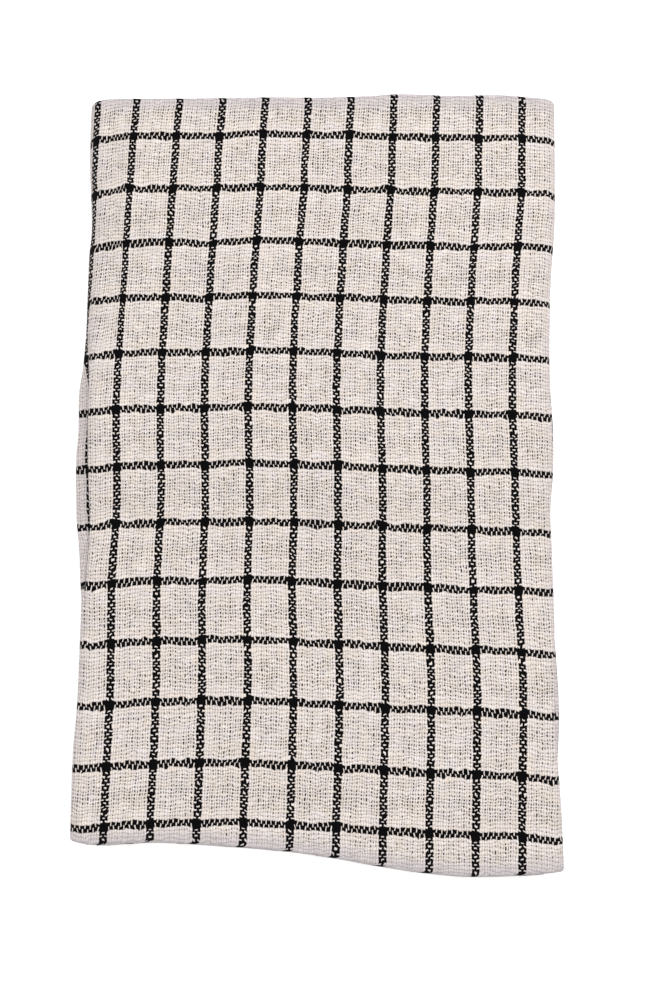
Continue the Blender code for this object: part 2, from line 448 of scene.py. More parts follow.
@dataclass
class CheckLayout:
    """Where the check's lines run over the cloth."""

    plan: FoldPlan
    settling: Settling
    repeat_across: float = 0.01615
    repeat_along: float = 0.02134
    tile_checks: int = 6
    middle_end_x: float = 0.0079
    middle_pick_y: float = -0.0029
    # How far the warp lines drift to +X, along the left and the right of the pile, from foot to head
    drift_left: Profile = profile(
        (0.04, -1.2), (0.20, -0.6), (0.34, -1.2), (0.45, 0.0), (0.57, -1.2), (0.72, -0.5),
        (0.86, 0.8), (0.94, 1.6), (1.00, 3.0),
    )
    drift_right: Profile = profile(
        (0.04, 0.0), (0.20, 0.9), (0.34, -0.6), (0.49, -1.9), (0.64, -2.3), (0.79, 0.1),
        (0.87, 2.0), (0.94, 2.3), (1.00, 2.6),
    )
    # How far the warp line on the left fold creeps up over it, from foot to head
    creep: Profile = profile(
        (0.58, 0.0), (0.64, 0.9), (0.70, 2.4), (0.76, 3.0), (0.86, 2.6), (0.94, 2.1), (1.00, 1.2),
    )
    creep_start_x: float = -0.0715
    creep_reach: float = 0.0085
    # How much cloth is gathered under the face at the left fold, from foot to head
    gather: Profile = profile(
        (0.28, -0.6), (0.318, -0.6), (0.322, 0.0), (0.333, 6.6), (0.35, 6.6), (0.38, 4.0),
        (0.40, 0.6), (0.42, -1.2), (0.46, -0.5), (0.50, 0.5), (0.54, 3.3), (0.60, 3.4),
        (0.62, 3.2), (0.64, 1.4), (0.67, 0.6), (0.70, 0.0),
    )
    gather_start: float = math.radians(30)
    gather_sweep: float = math.radians(40)
    # How far the weft lines stand towards the head, from left to right, near each end of the pile
    bow_foot: Profile = profile(
        (0.00, -3.6), (0.075, -1.6), (0.17, -0.1), (0.36, 1.2), (0.55, 0.4), (0.75, -0.4),
        (0.93, -0.9), (1.00, -1.9),
    )
    bow_head: Profile = profile(
        (0.00, -3.6), (0.065, -0.7), (0.11, -0.4), (0.20, -0.3), (0.25, -0.5), (0.29, 0.2),
        (0.38, 0.9), (0.55, 0.4), (0.75, -0.3), (0.93, -0.2), (1.00, -0.9),
    )
    # The same from foot to head, for a whole line
    lift: Profile = profile(
        (0.04, -0.5), (0.11, -1.0), (0.19, -0.4), (0.27, 0.1), (0.34, 0.5), (0.42, 0.5), (0.49, 0.1),
        (0.57, -0.1), (0.72, -0.3), (0.94, -0.6),
    )
    skew_foot: float = -0.021
    skew_head: float = 0.005

    def face_target(self, point: Vector) -> tuple[float, float]:
        """Finds how far a place on the face is from the middle lines of the check.

        Args:
            point: The place on the face.

        Returns:
            The distances along the picks and along the ends, in metres of cloth.
        """
        across = point.x / self.plan.pile_width + 0.5
        along = point.y / self.plan.pile_length + 0.5
        drift = blend(self.drift_left.read(along), self.drift_right.read(along), across)
        skew = blend(self.skew_foot, self.skew_head, along)
        bow = blend(self.bow_foot.read(across), self.bow_head.read(across), smooth(along))
        rise = bow + self.lift.read(along) + skew * point.x
        creep = self.creep.read(along) * smooth((self.creep_start_x - point.x) / self.creep_reach)
        return self.middle_end_x + drift + creep - point.x, self.middle_pick_y + rise - point.y

    def slack(self, columns: list[Across], along: Along) -> list[float]:
        """Works out how much longer the cloth runs round the left fold than the square pile says.

        Args:
            columns: The places across the cloth, in order.
            along: The place along it.

        Returns:
            The extra distance across the cloth at each place, in metres.
        """
        extra = 0.0
        extras = []
        gather = self.gather.read(along.y / self.plan.pile_length + 0.5)
        for before, here in zip([columns[0], *columns], columns):
            if before is not here and Third.LEFT_TURN in (before.third, here.third):
                step = self.settled(here, along) - self.settled(before, along)
                planned = self.plan.yarn_distance(here, along) - self.plan.yarn_distance(before, along)
                extra += math.hypot(step.x, step.z) - planned
            swept = math.pi if here.third is Third.OUTER else 0.0
            if here.third is Third.LEFT_TURN:
                swept = math.pi - here.angle
            extras.append(extra + gather * smooth((swept - self.gather_start) / self.gather_sweep))
        return extras

    def settled(self, across: Across, along: Along) -> Vector:
        """Finds where a place of the cloth lies in the settled pile."""
        return self.settling.place(self.plan.stack(across, along))

    def tile(self, across: Across, along: Along, extra: float) -> tuple[float, float]:
        """Finds a place of the cloth in the repeating tile.

        Args:
            across: The place across the cloth.
            along: The place along the cloth.
            extra: How much longer the cloth has run to there than the square pile says.

        Returns:
            The tile coordinates; the square from 0 to 1 lies in the middle of the face.
        """
        plan = self.plan
        x = min(max(across.x, plan.left_x), plan.right_x)
        y = min(max(along.y, plan.foot_y), plan.head_y)
        nearest = self.settling.place(Vector((x, y, plan.top(y))))
        end_distance, pick_distance = self.face_target(nearest)
        face_across = Across(Third.FACE, x, 0.0)
        face_along = Along(Ply.FACE, y, plan.face_depth(y), 0.0)
        shift_across = end_distance - plan.yarn_distance(face_across, face_along)
        shift_along = pick_distance - (plan.tuck + math.pi * plan.turn_radius + plan.head_y - y)
        checks_across = (plan.yarn_distance(across, along) + shift_across + extra) / self.repeat_across
        checks_along = (along.distance + shift_along) / self.repeat_along
        return checks_across / self.tile_checks + 0.5, checks_along / self.tile_checks + 0.5


@dataclass
class NodeTree:
    """Adds nodes to a tree and links them, for the finishes and the stitches."""

    tree: bpy.types.NodeTree

    def put(self, kind: str, **settings: object) -> bpy.types.Node:
        """Adds a node.

        Args:
            kind: The node's type.
            **settings: Properties to set on it.

        Returns:
            The node.
        """
        node = self.tree.nodes.new(kind)
        for name, value in settings.items():
            setattr(node, name, value)
        return node

    def feed(self, socket: Socket, value: NodeInput) -> None:
        """Sets a socket's value, or links another socket to it.

        Args:
            socket: The socket to feed.
            value: The value, or the socket that gives it.
        """
        if isinstance(value, Socket):
            self.tree.links.new(value, socket)
        else:
            socket.default_value = value

    def math(self, operation: str, *values: NodeInput, clamp: bool = False) -> Socket:
        """Adds a Math node.

        Args:
            operation: The operation's name.
            *values: Its inputs, in order.
            clamp: Whether to hold the result between 0 and 1.

        Returns:
            The result.
        """
        node = self.put("ShaderNodeMath", operation=operation, use_clamp=clamp)
        for socket, value in zip(node.inputs, values):
            self.feed(socket, value)
        return node.outputs[0]

    def add(self, first: NodeInput, second: NodeInput) -> Socket:
        """Adds two values."""
        return self.math("ADD", first, second)

    def take(self, first: NodeInput, second: NodeInput) -> Socket:
        """Takes the second value from the first."""
        return self.math("SUBTRACT", first, second)

    def times(self, first: NodeInput, second: NodeInput) -> Socket:
        """Multiplies two values."""
        return self.math("MULTIPLY", first, second)

    def over(self, first: NodeInput, second: NodeInput) -> Socket:
        """Divides the first value by the second."""
        return self.math("DIVIDE", first, second)

    def less(self, first: NodeInput, second: NodeInput) -> Socket:
        """Gives 1 where the first value is below the second, or else 0."""
        return self.math("LESS_THAN", first, second)

    def most(self, first: NodeInput, second: NodeInput) -> Socket:
        """Gives the larger of two values."""
        return self.math("MAXIMUM", first, second)

    def remainder(self, value: NodeInput, size: int) -> Socket:
        """Gives what is left of a value after whole steps of a size."""
        return self.math("FLOORED_MODULO", value, float(size))

    def choose(self, share: NodeInput, low: NodeInput, high: NodeInput) -> Socket:
        """Mixes two values.

        Args:
            share: How much of the second to take, from 0 to 1.
            low: The value at 0.
            high: The value at 1.

        Returns:
            The mixed value.
        """
        node = self.put("ShaderNodeMix", data_type="FLOAT")
        for name, value in (("Factor", share), ("A", low), ("B", high)):
            self.feed(node.inputs[name], value)
        return node.outputs["Result"]

    def tint(self, share: NodeInput, low: NodeInput, high: NodeInput) -> Socket:
        """Mixes two colours.

        Args:
            share: How much of the second to take, from 0 to 1.
            low: The colour at 0.
            high: The colour at 1.

        Returns:
            The mixed colour.
        """
        node = self.put("ShaderNodeMix", data_type="RGBA")
        colours = [socket for socket in node.inputs if socket.type == "RGBA"]
        self.feed(node.inputs["Factor"], share)
        for socket, value in zip(colours, (low, high)):
            self.feed(socket, value)
        return next(socket for socket in node.outputs if socket.type == "RGBA")

    def vector(self, x: NodeInput, y: NodeInput, z: NodeInput) -> Socket:
        """Joins three values into a vector.

        Args:
            x: The first value.
            y: The second value.
            z: The third value.

        Returns:
            The vector.
        """
        node = self.put("ShaderNodeCombineXYZ")
        for socket, value in zip(node.inputs, (x, y, z)):
            self.feed(socket, value)
        return node.outputs[0]

    def chance(self, x: NodeInput, y: NodeInput, seed: float) -> Socket:
        """Gives fixed random numbers for a pair of whole numbers.

        Args:
            x: The first whole number.
            y: The second whole number.
            seed: Sets these numbers apart from others.

        Returns:
            A colour of three numbers from 0 to 1.
        """
        node = self.put("ShaderNodeTexWhiteNoise", noise_dimensions="3D")
        self.feed(node.inputs["Vector"], self.vector(x, y, seed))
        return node.outputs["Color"]

    def split(self, vector: NodeInput) -> tuple[Socket, ...]:
        """Splits a vector or a colour.

        Args:
            vector: The vector or colour.

        Returns:
            Its three values.
        """
        node = self.put("ShaderNodeSeparateXYZ")
        self.feed(node.inputs[0], vector)
        return tuple(node.outputs)


def new_group(
    name: str, kind: str, inputs: dict[str, tuple[str, float | None]], outputs: dict[str, str]
) -> tuple[NodeTree, bpy.types.Node, bpy.types.Node]:
    """Starts a node group.

    Args:
        name: The group's name.
        kind: The tree's type.
        inputs: For each input's name, its socket type and default, or None for no default.
        outputs: For each output's name, its socket type.

    Returns:
        The tree, its input node and its output node.
    """
    tree = bpy.data.node_groups.new(name, kind)
    for label, (socket_type, default) in inputs.items():
        socket = tree.interface.new_socket(label, in_out="INPUT", socket_type=socket_type)
        if default is not None:
            socket.default_value = default
    for label, socket_type in outputs.items():
        tree.interface.new_socket(label, in_out="OUTPUT", socket_type=socket_type)
    nodes = NodeTree(tree)
    return nodes, nodes.put("NodeGroupInput"), nodes.put("NodeGroupOutput")


@dataclass(frozen=True)
class Banded:
    """A value in the plain field of the check, and the same inside a black band."""

    plain: float
    band: float

    def pick(self, nodes: NodeTree, in_band: NodeInput) -> Socket:
        """Chooses between the two by a mask that is 1 inside the band."""
        return nodes.choose(in_band, self.plain, self.band)


@dataclass(frozen=True)
class YarnSet:
    """One of the weave's two sets of yarns, the ends or the picks."""

    band_yarns: int
    field_yarns: int
    # Shares of a check: the black band's width, and how far the yarns wander slowly and quickly
    band: float
    drift: float
    flutter: float
    # Shares of the yarns' pitch: how much of it opens up, and half a yarn's width in the other set's band
    gap: Banded
    across_band: Banded

    @property
    def yarns(self) -> int:
        """Yarns in one check."""
        return self.band_yarns + self.field_yarns


@dataclass(frozen=True)
class WeaveSpec:
    checks: int
    ends: YarnSet = YarnSet(
        band_yarns=3, field_yarns=15, band=0.168, drift=0.030, flutter=0.020,
        gap=Banded(0.150, 0.05), across_band=Banded(0.22, 0.5),
    )
    picks: YarnSet = YarnSet(
        band_yarns=2, field_yarns=14, band=0.129, drift=0.055, flutter=0.050,
        gap=Banded(0.225, 0.03), across_band=Banded(0.20, 0.5),
    )
    closed_half: float = 0.475
    # The rings that the tile is wrapped on, and how fine the noise on them is
    ring_across: float = 1.6
    ring_along: float = 2.1
    drift_scale: float = 1.4
    flutter_scale: float = 4.2
    patch_scale: float = 2.6
    noise_detail: float = 1.0
    end_seed: float = 3.0
    pick_seed: float = 5.0
    crossing_seed: float = 7.0
    # How far a yarn leans at a crossing, and how close two ends lie as a pair
    lean: Banded = Banded(0.35, 0.85)
    tip: Banded = Banded(0.20, 0.55)
    tip_middle: float = 0.45
    pairing: float = 0.14
    # How far the yarns stand apart: in patches, at single crossings, along whole yarns, beside the bands
    patch_reach: float = 2.2
    patch_base: float = 0.76
    crossing_reach: float = 0.50
    yarn_reach: float = 0.40
    beside_band: float = 0.22
    midway_rise: float = 0.90
    ends_share: float = 0.25
    # A yarn's height where it floats over another and where it dips under
    float_base: float = 0.60
    float_bow: float = 0.40
    dip_base: float = 0.52
    dip_bow: float = -0.30


@dataclass(frozen=True)
class WeaveTone:
    """How the woven yarns and the gaps between them take colour."""

    yarn_warmth: float = 0.5
    patch_warmth: float = 1.9
    patch_middle: float = 0.36
    side_shade: float = 0.60
    crown_shade: float = 0.40
    crossing_shade: float = 0.93
    crossing_range: float = 0.10
    # How the gaps' painted shadow deepens: with the opening, at random, and from where
    deep_opened: float = 1.7
    deep_chance: float = 0.5
    deep_start: float = 0.35
    gap_roughness: float = 0.97
    crown_smoothing: float = 0.12
    black: tuple[float, ...] = (0.0, 0.0, 0.0, 1.0)


@dataclass
class WeaveGroup:
    """A plain weave with a check of black yarns, as a shader node group that repeats over each tile."""

    spec: WeaveSpec
    tone: WeaveTone
    name: str = "Checked Plain Weave"

    def build(self) -> bpy.types.NodeTree:
        """Builds the group.

        Returns:
            The group's tree.
        """
        spec = self.spec
        nodes, given, made = new_group(
            self.name,
            "ShaderNodeTree",
            {
                "Tile": ("NodeSocketVector", None),
                "Openness": ("NodeSocketFloat", 1.0),
                "Wander": ("NodeSocketFloat", 1.0),
                "Light Yarn": ("NodeSocketColor", None),
                "Warm Yarn": ("NodeSocketColor", None),
                "Dark Yarn": ("NodeSocketColor", None),
                # The two gap colours are painted shadow, for the shaded plies under the holes
                "Gap": ("NodeSocketColor", None),
                "Deep Gap": ("NodeSocketColor", None),
            },
            {"Color": "NodeSocketColor", "Height": "NodeSocketFloat", "Roughness": "NodeSocketFloat"},
        )
        u, v, _ = nodes.split(given.outputs["Tile"])
        ring = self.ring(nodes, u, v)
        drift = self.wander(nodes, ring, spec.drift_scale)
        flutter = self.wander(nodes, ring, spec.flutter_scale)
        patch = self.wander(nodes, ring, spec.patch_scale)
        end_shift = self.shift(nodes, given, drift[0], flutter[0], spec.ends)
        pick_shift = self.shift(nodes, given, drift[1], flutter[1], spec.picks)
        end, in_warp_band, end_middle = self.yarn_count(nodes, u, end_shift, spec.ends)
        pick, in_weft_band, pick_middle = self.yarn_count(nodes, v, pick_shift, spec.picks)
        end_index, end_place = self.cell(nodes, end, spec.ends)
        pick_index, pick_place = self.cell(nodes, pick, spec.picks)
        end_chance = nodes.split(nodes.chance(end_index, 0.0, spec.end_seed))
        pick_chance = nodes.split(nodes.chance(0.0, pick_index, spec.pick_seed))
        crossing = nodes.split(nodes.chance(end_index, pick_index, spec.crossing_seed))
        middle = nodes.add(
            nodes.times(end_middle, spec.ends_share), nodes.times(pick_middle, 1.0 - spec.ends_share)
        )
        chances = (crossing[0], end_chance[1], pick_chance[1])
        opened = nodes.times(self.opened(nodes, patch[0], chances), given.outputs["Openness"])
        midway = nodes.math("MULTIPLY_ADD", middle, spec.midway_rise, spec.beside_band)
        opened = nodes.math("MULTIPLY", opened, midway, clamp=True)
        lean = nodes.times(nodes.take(crossing[1], 0.5), spec.lean.pick(nodes, in_weft_band))
        paired = nodes.times(nodes.take(nodes.remainder(end_index, 2), 0.5), spec.pairing)
        paired = nodes.times(paired, nodes.take(1.0, in_warp_band))
        end_leant = nodes.add(nodes.add(end_place, paired), nodes.times(lean, pick_place))
        tip = nodes.times(nodes.take(crossing[2], spec.tip_middle), spec.tip.pick(nodes, in_warp_band))
        pick_leant = nodes.add(pick_place, nodes.times(tip, end_place))
        weft_floats = nodes.remainder(nodes.add(end_index, pick_index), 2)
        warp_floats = nodes.take(1.0, weft_floats)
        warp_half = self.half_width(nodes, opened, in_warp_band, in_weft_band, spec.ends)
        weft_half = self.half_width(nodes, opened, in_weft_band, in_warp_band, spec.picks)
        warp_side = nodes.math("ABSOLUTE", end_leant)
        weft_side = nodes.math("ABSOLUTE", pick_leant)
        on_warp = nodes.less(warp_side, warp_half)
        on_weft = nodes.less(weft_side, weft_half)
        warp_shows = nodes.most(
            nodes.times(on_warp, warp_floats), nodes.times(on_warp, nodes.take(1.0, on_weft))
        )
        any_yarn = nodes.most(on_warp, on_weft)
        warp_crown = self.crown(nodes, warp_side, warp_half, pick_place, warp_floats)
        weft_crown = self.crown(nodes, weft_side, weft_half, end_place, weft_floats)
        crown = nodes.times(nodes.choose(warp_shows, weft_crown, warp_crown), any_yarn)
        dark = nodes.choose(warp_shows, in_weft_band, in_warp_band)
        yarn_chance = nodes.choose(warp_shows, pick_chance[0], end_chance[0])
        light = self.light_yarn(nodes, given, yarn_chance, patch[2])
        yarn = nodes.tint(dark, light, given.outputs["Dark Yarn"])
        shaded = self.shaded(nodes, yarn, crown, crossing[0])
        # Painted shadow in the gaps between the yarns, for the shaded plies beneath
        gap = self.gap_shadow(nodes, given, opened, crossing[2], nodes.most(in_warp_band, in_weft_band))
        roughness = nodes.take(self.tone.gap_roughness, nodes.times(crown, self.tone.crown_smoothing))
        nodes.feed(made.inputs["Color"], nodes.tint(any_yarn, gap, shaded))
        nodes.feed(made.inputs["Height"], crown)
        nodes.feed(made.inputs["Roughness"], roughness)
        return nodes.tree

    def ring(self, nodes: NodeTree, u: NodeInput, v: NodeInput) -> tuple[Socket, Socket]:
        """Wraps the tile on a ring in four dimensions, so that noise read there repeats with the tile.

        Args:
            nodes: The tree.
            u: The tile coordinate across.
            v: The tile coordinate along.

        Returns:
            The first three coordinates on the ring, and the fourth.
        """
        turned = []
        for coordinate, reach in ((u, self.spec.ring_across), (v, self.spec.ring_along)):
            angle = nodes.times(coordinate, math.tau)
            turned += [nodes.times(nodes.math(way, angle), reach) for way in ("COSINE", "SINE")]
        return nodes.vector(*turned[:3]), turned[3]

    def wander(self, nodes: NodeTree, ring: tuple[Socket, Socket], scale: float) -> tuple[Socket, ...]:
        """Reads noise on the ring.

        Args:
            nodes: The tree.
            ring: The first three coordinates on the ring, and the fourth.
            scale: How fine the noise is.

        Returns:
            Three values, each about 0.5 in the middle.
        """
        texture = nodes.put("ShaderNodeTexNoise", noise_dimensions="4D")
        nodes.feed(texture.inputs["Vector"], ring[0])
        nodes.feed(texture.inputs["W"], ring[1])
        nodes.feed(texture.inputs["Scale"], scale)
        nodes.feed(texture.inputs["Detail"], self.spec.noise_detail)
        return nodes.split(texture.outputs["Color"])

    @staticmethod
    def shift(
        nodes: NodeTree, given: bpy.types.Node, slow: NodeInput, quick: NodeInput, yarns: YarnSet
    ) -> Socket:
        """Works out how far the yarns wander at a place.

        Args:
            nodes: The tree.
            given: The group's input node.
            slow: Noise from 0 to 1 that drifts over several checks.
            quick: Noise from 0 to 1 that flutters within a check.
            yarns: The set of yarns.

        Returns:
            The wander, in checks.
        """
        wide = nodes.times(nodes.take(slow, 0.5), yarns.drift * 2)
        narrow = nodes.times(nodes.take(quick, 0.5), yarns.flutter * 2)
        return nodes.times(nodes.add(wide, narrow), given.outputs["Wander"])

    def yarn_count(
        self, nodes: NodeTree, tile: NodeInput, shift: NodeInput, yarns: YarnSet
    ) -> tuple[Socket, Socket, Socket]:
        """Counts yarns from the tile's edge.

        Args:
            nodes: The tree.
            tile: The tile coordinate across the yarns.
            shift: How far the yarns wander, in checks.
            yarns: The set of yarns.

        Returns:
            The number of yarns from the edge, 1 inside a black band or else 0, and a share that
            rises from 0 beside the bands to 1 midway between them.
        """
        band, field_width = yarns.band, 1 - yarns.band
        checks = nodes.add(nodes.math("MULTIPLY_ADD", tile, float(self.spec.checks), band / 2), shift)
        whole = nodes.math("FLOOR", checks)
        share = nodes.take(checks, whole)
        past_band = nodes.take(share, band)
        in_band = nodes.less(share, band)
        banded = nodes.times(share, yarns.band_yarns / band)
        density = yarns.field_yarns / field_width
        plain = nodes.math("MULTIPLY_ADD", past_band, density, float(yarns.band_yarns))
        local = nodes.choose(in_band, plain, banded)
        field_share = nodes.over(past_band, field_width)
        both_sides = nodes.times(field_share, nodes.take(1.0, field_share))
        middle = nodes.math("MULTIPLY", both_sides, 4.0, clamp=True)
        return nodes.math("MULTIPLY_ADD", whole, float(yarns.yarns), local), in_band, middle

    def cell(self, nodes: NodeTree, count: NodeInput, yarns: YarnSet) -> tuple[Socket, Socket]:
        """Splits a yarn count into the yarn's number in the tile and the place across it.

        Args:
            nodes: The tree.
            count: The yarn count.
            yarns: The set of yarns.

        Returns:
            The yarn's number, and the place across it from -0.5 to 0.5.
        """
        whole = nodes.math("FLOOR", count)
        place = nodes.take(nodes.take(count, whole), 0.5)
        return nodes.remainder(whole, yarns.yarns * self.spec.checks), place

    def opened(self, nodes: NodeTree, patch: NodeInput, chances: tuple[Socket, Socket, Socket]) -> Socket:
        """Works out how far the yarns stand apart at a crossing, before folds and bands close them.

        Args:
            nodes: The tree.
            patch: Noise from 0 to 1 that opens the weave in patches.
            chances: Random numbers from 0 to 1 for the crossing, for its end and for its pick.

        Returns:
            About 0 for closed, to about 1.
        """
        spec = self.spec
        crossing, end, pick = chances
        patchy = nodes.math("MULTIPLY_ADD", nodes.take(patch, 0.5), spec.patch_reach, spec.patch_base)
        single = nodes.times(nodes.take(crossing, 0.5), spec.crossing_reach)
        lines = nodes.times(nodes.take(nodes.add(end, pick), 1.0), spec.yarn_reach)
        return nodes.add(patchy, nodes.add(single, lines))

    def half_width(
        self, nodes: NodeTree, opened: NodeInput, own_band: NodeInput, other_band: NodeInput, yarns: YarnSet
    ) -> Socket:
        """Works out half a yarn's width at a crossing.

        Args:
            nodes: The tree.
            opened: How far the yarns stand apart.
            own_band: 1 inside a black band of the yarn's own set, or else 0.
            other_band: The same for the set that it crosses.
            yarns: The set of yarns.

        Returns:
            Half the width, as a share of the pitch.
        """
        narrowed = nodes.times(opened, yarns.gap.pick(nodes, own_band))
        half = nodes.take(self.spec.closed_half, narrowed)
        return nodes.choose(other_band, half, yarns.across_band.pick(nodes, own_band))

    def crown(
        self, nodes: NodeTree, side: NodeInput, half: NodeInput, along: NodeInput, on_top: NodeInput
    ) -> Socket:
        """Works out a yarn's height: round across, and bowed where it floats over another.

        Args:
            nodes: The tree.
            side: The distance from the yarn's middle line.
            half: Half the yarn's width.
            along: The place along the yarn, from -0.5 to 0.5.
            on_top: 1 where the yarn floats over the other, or else 0.

        Returns:
            The height, from 0 to 1.
        """
        spec = self.spec
        across = nodes.over(side, half)
        round_off = nodes.math("SQRT", nodes.math("SUBTRACT", 1.0, nodes.times(across, across), clamp=True))
        bow = nodes.math("COSINE", nodes.times(along, math.pi))
        high = nodes.math("MULTIPLY_ADD", bow, spec.float_bow, spec.float_base)
        low = nodes.math("MULTIPLY_ADD", bow, spec.dip_bow, spec.dip_base)
        return nodes.times(round_off, nodes.choose(on_top, low, high))

    def light_yarn(
        self, nodes: NodeTree, given: bpy.types.Node, yarn_chance: NodeInput, patch: NodeInput
    ) -> Socket:
        """Mixes the undyed yarn's two colours, yarn by yarn and in patches.

        Args:
            nodes: The tree.
            given: The group's input node.
            yarn_chance: A random number from 0 to 1 for the yarn.
            patch: Noise from 0 to 1.

        Returns:
            The colour.
        """
        tone = self.tone
        by_patch = nodes.times(nodes.take(patch, tone.patch_middle), tone.patch_warmth)
        warmth = nodes.add(nodes.times(yarn_chance, tone.yarn_warmth), by_patch)
        return nodes.tint(warmth, given.outputs["Light Yarn"], given.outputs["Warm Yarn"])

    def shaded(self, nodes: NodeTree, yarn: NodeInput, crown: NodeInput, crossing: NodeInput) -> Socket:
        """Darkens a yarn towards its sides, and a little from one crossing to the next.

        Args:
            nodes: The tree.
            yarn: The yarn's colour.
            crown: Its height, from 0 to 1.
            crossing: A random number from 0 to 1 for the crossing.

        Returns:
            The colour.
        """
        tone = self.tone
        by_height = nodes.add(tone.side_shade, nodes.times(crown, tone.crown_shade))
        by_chance = nodes.add(tone.crossing_shade, nodes.times(crossing, tone.crossing_range))
        return nodes.tint(nodes.times(by_height, by_chance), tone.black, yarn)

    def gap_shadow(
        self, nodes: NodeTree, given: bpy.types.Node, opened: NodeInput, chance: NodeInput, in_band: NodeInput
    ) -> Socket:
        """Works out the painted shadow between the yarns, for the shaded plies under them: deeper where they
        stand wide apart.

        Args:
            nodes: The tree.
            given: The group's input node.
            opened: How far the yarns stand apart.
            chance: A random number from 0 to 1 for the crossing.
            in_band: 1 inside a black band, or else 0.

        Returns:
            The colour.
        """
        tone = self.tone
        deep = nodes.math("MULTIPLY_ADD", opened, tone.deep_opened, nodes.times(chance, tone.deep_chance))
        deep = nodes.math("SUBTRACT", deep, tone.deep_start, clamp=True)
        gap = nodes.tint(deep, given.outputs["Gap"], given.outputs["Deep Gap"])
        return nodes.tint(in_band, gap, given.outputs["Deep Gap"])


@dataclass(frozen=True)
class SpunGroup:
    """The uneven tone of spun cotton, as a shader node group."""

    name: str = "Spun Cotton"
    detail: float = 2.0
    contrast: float = 2.0
    middle: float = 0.5

    def build(self) -> bpy.types.NodeTree:
        """Builds the group.

        Returns:
            The group's tree, which puts out a tone from 0 to 1.
        """
        nodes, given, made = new_group(
            self.name,
            "ShaderNodeTree",
            {"Vector": ("NodeSocketVector", None), "Scale": ("NodeSocketFloat", None)},
            {"Tone": "NodeSocketFloat"},
        )
        texture = nodes.put("ShaderNodeTexNoise")
        nodes.feed(texture.inputs["Vector"], given.outputs["Vector"])
        nodes.feed(texture.inputs["Scale"], given.outputs["Scale"])
        nodes.feed(texture.inputs["Detail"], self.detail)
        swing = nodes.take(texture.outputs["Fac"], self.middle)
        tone = nodes.math("MULTIPLY_ADD", swing, self.contrast, self.middle, clamp=True)
        nodes.feed(made.inputs["Tone"], tone)
        return nodes.tree


@dataclass(frozen=True)
class ThreadFinish:
    """Off-white sewing thread."""

    colour: tuple[float, ...] = (0.800, 0.740, 0.710, 1.0)
    shade: tuple[float, ...] = (0.560, 0.505, 0.475, 1.0)
    spun_scale: float = 1400.0
    roughness: float = 0.85
    specular: float = 0.08

    def build(self, spun: bpy.types.NodeTree) -> bpy.types.Material:
        """Builds the material.

        Args:
            spun: The node group for the tone of spun cotton.

        Returns:
            The material.
        """
        material = bpy.data.materials.new("sewing_thread")
        material.use_nodes = True
        nodes = NodeTree(material.node_tree)
        shader = material.node_tree.nodes["Principled BSDF"]
        place = nodes.put("ShaderNodeTexCoord")
        tone = nodes.put("ShaderNodeGroup", node_tree=spun)
        nodes.feed(tone.inputs["Vector"], place.outputs["Object"])
        nodes.feed(tone.inputs["Scale"], self.spun_scale)
        nodes.feed(shader.inputs["Base Color"], nodes.tint(tone.outputs["Tone"], self.shade, self.colour))
        shader.inputs["Roughness"].default_value = self.roughness
        shader.inputs["Specular IOR Level"].default_value = self.specular
        return material


